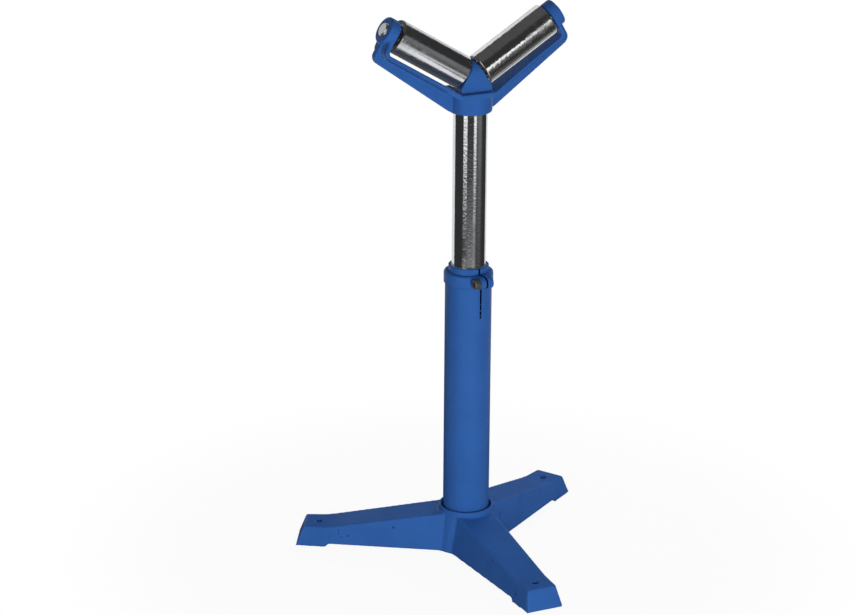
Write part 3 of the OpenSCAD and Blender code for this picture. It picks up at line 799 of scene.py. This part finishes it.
@dataclass
class ClampColumn:
    """Painted column with its slit clamp collar and the screw that closes it.

    Paint bridges the slit at a few heights, each given with its half height.
    """

    edge: float = 0.7 * MM
    bridge_r: float = 37.0 * MM
    bridge_reach: float = 1.5 * MM
    bridge_half: float = 1.0 * MM
    bridges: tuple = ((425.3 * MM, 1.3 * MM), (417.0 * MM, 0.9 * MM), (436.0 * MM, 0.7 * MM))

    def build(self) -> None:
        """Makes the column with the paint that bridges its slit, and dresses its screw."""
        column = eased_copy("column", "clamp_column", self.edge)
        x, y = self.bridge_r * math.cos(SLIT_HEADING), self.bridge_r * math.sin(SLIT_HEADING)
        for height, half in self.bridges:
            add_drop(column, (x, y, height), (self.bridge_reach, self.bridge_half, half))
        stand_for(column, COLUMN_PAINT, "stand", "column")
        redress(SCREW_STEEL, "clamp_screw")


@dataclass
class SlidingMast:
    """Bright tube that slides and turns in the column."""

    foot_z: float = 303.5 * MM
    seat_r: float = 25.0 * MM
    retainer_z: float = 306.5 * MM
    retainer_t: float = 2.0 * MM
    groove_r: float = 23.8 * MM
    seat_top: float = 320.9 * MM
    tube_r: float = 27.75 * MM
    yoke_z: float = 751.5 * MM
    neck_r: float = 25.0 * MM
    neck_top: float = 783.5 * MM
    bore_r: float = 20.25 * MM
    edge: float = 0.3 * MM
    foot_edge: float = 1.0 * MM
    neck_edge: float = 1.5 * MM

    def build(self) -> None:
        """Turns the tube and dresses the guide ring on its foot."""
        retainer_top = self.retainer_z + self.retainer_t
        outline = eased([
            (self.foot_z, self.bore_r, self.edge), (self.foot_z, self.seat_r, self.foot_edge),
            (self.retainer_z, self.seat_r, 0), (self.retainer_z, self.groove_r, 0),
            (retainer_top, self.groove_r, 0), (retainer_top, self.seat_r, 0),
            (self.seat_top, self.seat_r, 0), (self.seat_top, self.tube_r, self.edge),
            (self.yoke_z, self.tube_r, self.edge), (self.yoke_z, self.neck_r, 0),
            (self.neck_top, self.neck_r, self.neck_edge), (self.neck_top, self.bore_r, self.edge),
        ])
        stand_for(turned("bright_mast", outline, Matrix.Identity(4)), MAST_STEEL, "mast", "mast_tube")
        redress(BRONZE, "guide_ring")
        redress(OXIDE, "guide_retaining_ring")


@dataclass
class YokeHead:
    """Cast V yoke that holds both axles, with its grub screws."""

    grain: float = 1.5 * MM
    passes: int = 2
    soft: int = 4
    groove_half: float = 4.2 * MM
    groove_depth: float = 2.0 * MM
    groove_skin: tuple = (5 * MM, 1 * MM)

    def build(self) -> None:
        """Makes the casting and dresses its screws."""
        casting = cast("yoke_casting", "yoke_head", self.grain, self.passes, self.soft)
        for side in Side:
            self.press_groove(casting, side)
        stand_for(casting, YOKE_PAINT, "mast", "yoke_casting")
        # The rollers would show the blue arms as dark bands that the real, duller steel doesn't have
        casting.visible_glossy = False
        redress(OXIDE, "yoke_grub_screws", "axle_grub_screws")

    def press_groove(self, casting: bpy.types.Object, side: Side) -> None:
        """Presses the soft groove that runs round an arm's window into both faces of the yoke's arm."""
        arm = side.arm()
        back = arm.inverted()
        for vert in casting.data.vertices:
            x, y, z = back @ vert.co
            away = math.hypot(max(x - WINDOW_END, 0.0), max(WINDOW_FOOT - z, 0.0))
            share = max(0.0, 1 - ((away - GROOVE_AT) / self.groove_half) ** 2) ** 2
            share *= smooth(x, *GROOVE_ALONG) * smooth(-z, *GROOVE_BELOW)
            share *= smooth(abs(y), *(ARM_FACE - depth for depth in self.groove_skin))
            if share > 0:
                vert.co = arm @ Vector((x, y - math.copysign(self.groove_depth * share, y), z))


@dataclass
class SupportRoller:
    """One bright roller, its axle and the two ball bearings in it."""

    side: Side
    radius: float = 27.0 * MM
    edge: float = 1.5 * MM
    bore_r: float = 19.0 * MM
    seat_r: float = 22.03 * MM
    seat_len: float = 15.0 * MM
    seat_edge: float = 0.4 * MM
    clip_r: float = 23.2 * MM
    clip_from: float = 1.0 * MM
    clip_to: float = 3.0 * MM
    axle_r: float = 11.0 * MM
    axle_edge: float = 1.5 * MM
    axle_soft: float = 0.3 * MM
    axle_from: float = 10.2 * MM
    axle_to: float = 179.6 * MM
    pitch_r: float = 16.5 * MM
    ball_r: float = 3.175 * MM
    ball_count: int = 9
    bearings: tuple = (("inner", 28.8 * MM), ("outer", 145.6 * MM))

    def place(self, along: float = 0.0) -> Matrix:
        """Returns the axle's frame at a distance along it, with Z along the axle."""
        return self.side.arm() @ Matrix.Translation((along, 0, 0)) @ Z_TO_X

    def build(self) -> None:
        """Makes the roller, the axle and the balls, and dresses the rest."""
        name = self.side.value
        stand_for(turned(f"{name}_bright_roller", self.roller_outline(), self.place()),
                  ROLLER_STEEL[self.side], f"{name}_roller_set", f"{name}_roller")
        stand_for(turned(f"{name}_turned_axle", self.axle_outline(), self.place(), ROUND // 2, closed=False),
                  AXLE_STEEL, "mast", f"{name}_axle")
        redress(OXIDE, f"{name}_bearing_circlips")
        redress(SEAL, f"{name}_bearing_seals")
        redress(TURNED, f"{name}_inner_spacer", f"{name}_outer_spacer")
        for end, along in self.bearings:
            redress(BALL_STEEL, f"{name}_{end}_bearing_outer_ring", f"{name}_{end}_bearing_inner_ring")
            redress(CAGE_BRASS, f"{name}_{end}_bearing_cage")
            stand_for(self.ball_row(f"{name}_{end}_ball_row", self.place(along)), BALL_STEEL,
                      f"{name}_{end}_ball_set", f"{name}_{end}_bearing_balls")

    def roller_outline(self) -> list[tuple]:
        """Returns the shell's section, with a seat and a groove at each end."""
        half = [(0.0, self.seat_r, self.seat_edge),
                (self.clip_from, self.seat_r, 0), (self.clip_from, self.clip_r, 0),
                (self.clip_to, self.clip_r, 0), (self.clip_to, self.seat_r, 0),
                (self.seat_len, self.seat_r, 0), (self.seat_len, self.bore_r, 0)]
        near = [(ROLLER_NEAR + reach, radius, edge) for reach, radius, edge in half]
        far = [(ROLLER_FAR - reach, radius, edge) for reach, radius, edge in reversed(half)]
        skin = [(ROLLER_FAR, self.radius, self.edge), (ROLLER_NEAR, self.radius, self.edge)]
        return eased(near + far + skin)

    def axle_outline(self) -> list[tuple]:
        """Returns the axle's section with its chamfered ends."""
        edge, soft = self.axle_edge, self.axle_soft
        return eased([(self.axle_from, 0, 0), (self.axle_from, self.axle_r - edge, soft),
                      (self.axle_from + edge, self.axle_r, soft), (self.axle_to - edge, self.axle_r, soft),
                      (self.axle_to, self.axle_r - edge, soft), (self.axle_to, 0, 0)], closed=False)

    def ball_row(self, name: str, place: Matrix) -> bpy.types.Object:
        """Lays a bearing's balls out on their pitch circle with a node tree.

        Args:
            name: Name of the piece.
            place: The bearing's middle, with Z along the axle.

        Returns:
            The piece, as one plain mesh.
        """
        tree = bpy.data.node_groups.get("ball_row") or ball_row_tree()
        piece = new_piece(name, bpy.data.meshes.new(name))
        layout = piece.modifiers.new("balls", "NODES")
        layout.node_group = tree
        sizes = {"Pitch Radius": self.pitch_r, "Ball Radius": self.ball_r, "Ball Count": self.ball_count,
                 "Centre": place.to_translation(), "Turn": place.to_euler(), "Finish": BALL_STEEL.material()}
        for socket in tree.interface.items_tree:
            if socket.in_out == "INPUT" and socket.name in sizes:
                layout[socket.identifier] = sizes[socket.name]
        return settled(piece)


def ball_row_tree(segments: int = 28, rings: int = 16) -> bpy.types.NodeTree:
    """Builds the node tree that puts equal balls on a circle and returns it."""
    tree = bpy.data.node_groups.new("ball_row", "GeometryNodeTree")
    board = Board(tree)
    for label, kind in (("Pitch Radius", "Float"), ("Ball Radius", "Float"), ("Ball Count", "Int"),
                        ("Centre", "Vector"), ("Turn", "Rotation"), ("Finish", "Material")):
        tree.interface.new_socket(label, in_out="INPUT", socket_type=f"NodeSocket{kind}")
    tree.interface.new_socket("Geometry", in_out="OUTPUT", socket_type="NodeSocketGeometry")
    given = board.add("NodeGroupInput").outputs
    circle = board.add("GeometryNodeMeshCircle", None,
                       {"Vertices": given["Ball Count"], "Radius": given["Pitch Radius"]})
    ball = board.add("GeometryNodeMeshUVSphere", None,
                     {"Segments": segments, "Rings": rings, "Radius": given["Ball Radius"]})
    shaded = board.add("GeometryNodeSetShadeSmooth", None, {"Geometry": ball.outputs["Mesh"]})
    row = board.add("GeometryNodeInstanceOnPoints", None,
                    {"Points": circle.outputs["Mesh"], "Instance": shaded.outputs[0]})
    placed = board.add("GeometryNodeTransform", None,
                       {"Geometry": row.outputs[0], "Translation": given["Centre"],
                        "Rotation": given["Turn"]})
    real = board.add("GeometryNodeRealizeInstances", None, {"Geometry": placed.outputs[0]})
    dressed = board.add("GeometryNodeSetMaterial", None,
                        {"Geometry": real.outputs[0], "Material": given["Finish"]})
    board.add("NodeGroupOutput", None, {"Geometry": dressed.outputs[0]})
    return tree


# ---- Studio ----

@dataclass(frozen=True)
class SoftLamp:
    """One soft lamp: where it stands, what it faces, its size and its power in watts."""

    name: str
    stands: tuple
    faces: tuple
    size: tuple
    watts: float

    def build(self) -> None:
        """Puts the lamp in the scene."""
        light = bpy.data.lights.new(self.name, "AREA")
        light.shape = "RECTANGLE"
        light.size, light.size_y = self.size
        light.energy = self.watts
        lamp = new_piece(self.name, light)
        lamp.location = self.stands
        lamp.rotation_euler = (Vector(self.faces) - Vector(self.stands)).to_track_quat("-Z", "Y").to_euler()
        lamp.visible_camera = False
        lamp.visible_glossy = False


@dataclass(frozen=True)
class Patch:
    """A bright patch of the room.

    Attributes:
        heading: Its two ends and the half width of their soft edge, in degrees towards the right.
        height: The same, in degrees above the horizon.
        bright: Its brightness.
    """

    heading: tuple
    height: tuple
    bright: float

    def light(self, heading: Value, height: Value) -> Value:
        """Returns the patch's brightness in a direction."""
        return heading.band(*self.heading) * height.band(*self.height) * self.bright


FRONT_WINDOW = Patch((0.5, 17.5, 5.0), (-17.0, 10.5, 0.95), 1.3)
LEFT_WINDOW = Patch((-69.0, -43.5, 1.5), (-16.9, 40.0, 0.95), 1.3)
LEFT_SCREEN = Patch((-156.0, -138.0, 3.0), (4.0, 26.0, 3.0), 0.7)
RIGHT_SCREEN = Patch((117.0, 144.0, 2.0), (-6.0, 21.0, 2.0), 0.75)
SIDE_WALL = Patch((26.0, 58.0, 12.0), (-18.0, 12.0, 3.0), 0.16)
LOW_GLOW = Patch((-42.0, 16.0, 12.0), (-24.0, -19.2, 2.4), 0.36)


@dataclass
class Studio:
    """Pale round floor, soft lamps and the room that bright metal reflects."""

    floor_r: float = 1.2
    floor_drop: float = 0.3 * MM
    floor_tone: float = 0.8
    floor_glow: float = 0.93
    near_tone: float = 0.12
    rear_tone: float = 0.42
    day: float = 0.20
    lamps: tuple = (
        SoftLamp("front_lamp", (-0.45, -2.65, 0.60), (0.0, 0.0, 0.40), (1.1, 1.2), 60.0),
        SoftLamp("left_lamp", (-2.50, -0.90, 0.80), (0.0, 0.0, 0.40), (1.2, 1.4), 9.0),
        SoftLamp("rear_lamp", (1.70, 1.90, 1.30), (0.0, 0.0, 0.20), (1.6, 1.2), 62.0),
    )

    def build(self) -> None:
        """Makes the floor, the lamps and the world."""
        self.make_floor()
        for lamp in self.lamps:
            lamp.build()
        self.make_room()

    def make_floor(self) -> None:
        """Lays the floor disc."""
        mesh = bpy.data.meshes.new("studio_floor")
        bm = bmesh.new()
        bmesh.ops.create_circle(bm, cap_ends=True, segments=128, radius=self.floor_r,
                                matrix=Matrix.Translation((0, 0, -self.floor_drop)))
        finish_mesh(bm, mesh)
        floor = new_piece("studio_floor", mesh)
        mesh.materials.append(self.floor_finish())

    def floor_finish(self) -> bpy.types.Material:
        """Returns the floor's material: nearly white for the camera, with its own tones in bright metal."""
        made = bpy.data.materials.new("floor_white")
        made.use_nodes = True
        board = Board(made.node_tree)
        where = board.place()
        across, ahead, _ = board.split(where)
        seen, mirrored = board.rays()
        # Bright metal sees the lit floor in front of the stand, and the darker floor beside and behind it
        front = ahead.step(-0.36, -0.47) * across.band(-0.60, 0.16, 0.06)
        rear = across.step(0.25, 0.55) * ahead.step(-0.20, 0.0)
        tone = board.mix(rear, grey(self.near_tone), grey(self.rear_tone))
        tone = board.mix(mirrored, grey(self.floor_tone), tone)
        plain = board.add("ShaderNodeBsdfDiffuse", None, {"Color": tone}).outputs[0]
        white = board.add("ShaderNodeEmission", None, {"Color": grey(1.0)}).outputs[0]
        glow = board.away(where).step(0.40, 0.75) * (1 - self.floor_glow) + self.floor_glow
        share = seen * glow + mirrored * front * 0.95
        mixed = board.add("ShaderNodeMixShader", None, {0: share, 1: plain, 2: white}).outputs[0]
        board.add("ShaderNodeOutputMaterial", None, {"Surface": mixed})
        return made

    def make_room(self) -> None:
        """Sets the world: white for the camera, the room for reflections, even light for the rest."""
        world = bpy.data.worlds.new("studio_room")
        bpy.context.scene.world = world
        world.use_nodes = True
        board = Board(world.node_tree)
        x, y, z = board.split(board.add("ShaderNodeTexCoord").outputs["Generated"])
        seen, mirrored = board.rays()
        room = self.room_light(x.angle_from(y * -1.0), z.rise_angle())
        strength = mirrored * room + (1 - mirrored) * self.day
        strength = seen + (1 - seen) * strength
        sky = board.add("ShaderNodeBackground", None, {"Color": grey(1.0), "Strength": strength})
        board.add("ShaderNodeOutputWorld", None, {"Surface": sky.outputs[0]})

    @staticmethod
    def room_light(heading: Value, height: Value) -> Value:
        """Returns the brightness of the room that bright metal reflects.

        Args:
            heading: Degrees from straight in front, towards the right.
            height: Degrees above the horizon.
        """
        # The pale ground runs from the right round the back. Two screens stand up from it, one of them right
        # behind the stand, where the heading jumps from 180 to -180 degrees
        ground = (heading.step(104.0, 111.0) + heading.step(-139.0, -143.0)) * height.step(-1.0, -4.0)
        screen = (heading.step(164.0, 168.0) + heading.step(-158.0, -162.0)) * height.band(-6.0, 46.0, 2.0)
        behind = (ground * 0.85).at_least(screen * 0.85).at_least(RIGHT_SCREEN.light(heading, height))
        approach = heading.band(-60.0, 30.0, 6.0) * height.step(-18.0, -39.0)
        ceiling = height.step(45.0, 60.0)
        total = behind + approach * 0.95 + ceiling * 0.05 + 0.035
        for patch in (FRONT_WINDOW, LEFT_WINDOW, LEFT_SCREEN, SIDE_WALL, LOW_GLOW):
            total = total + patch.light(heading, height)
        return total


@dataclass(frozen=True)
class CameraRig:
    """Camera at the photograph's place. Angles are in degrees, the lens and its sensor in millimetres."""

    stands: tuple = (-1.9383, -3.9671, 2.0251)
    heading: float = -26.04
    yaw: float = -0.7495
    pitch: float = 19.9917
    roll: float = 0.4113
    lens: float = 120.47
    sensor: float = 36.0
    sight: tuple = (0.05, 50.0)

    def build(self) -> None:
        """Puts the camera in the scene."""
        heading, yaw, pitch, roll = map(math.radians, (self.heading, self.yaw, self.pitch, self.roll))
        ahead = Vector((math.sin(yaw) * math.cos(pitch), math.cos(yaw) * math.cos(pitch), -math.sin(pitch)))
        right = Vector((math.cos(yaw), -math.sin(yaw), 0))
        look = Matrix((right, right.cross(ahead), -ahead)).transposed().to_4x4()
        lens = bpy.data.cameras.new("stand_camera")
        lens.lens = self.lens
        lens.sensor_width = self.sensor
        lens.clip_start, lens.clip_end = self.sight
        camera = new_piece("stand_camera", lens)
        turn, tilt = Matrix.Rotation(heading, 4, "Z"), Matrix.Rotation(roll, 4, "Z")
        camera.matrix_world = Matrix.Translation(self.stands) @ turn @ look @ tilt
        bpy.context.scene.camera = camera


def main() -> None:
    """Builds the stand's sub-assemblies in order, then the studio and the camera."""
    logging.basicConfig(level=logging.INFO, format="%(name)s: %(message)s")
    for part in (TripodBase(), ClampColumn(), SlidingMast(), YokeHead(), SupportRoller(Side.LEFT),
                 SupportRoller(Side.RIGHT), Studio(), CameraRig()):
        part.build()
        LOG.info("%s is done", type(part).__name__)
    bpy.context.scene.view_settings.view_transform = "Standard"


if __name__ == "__main__":
    main()
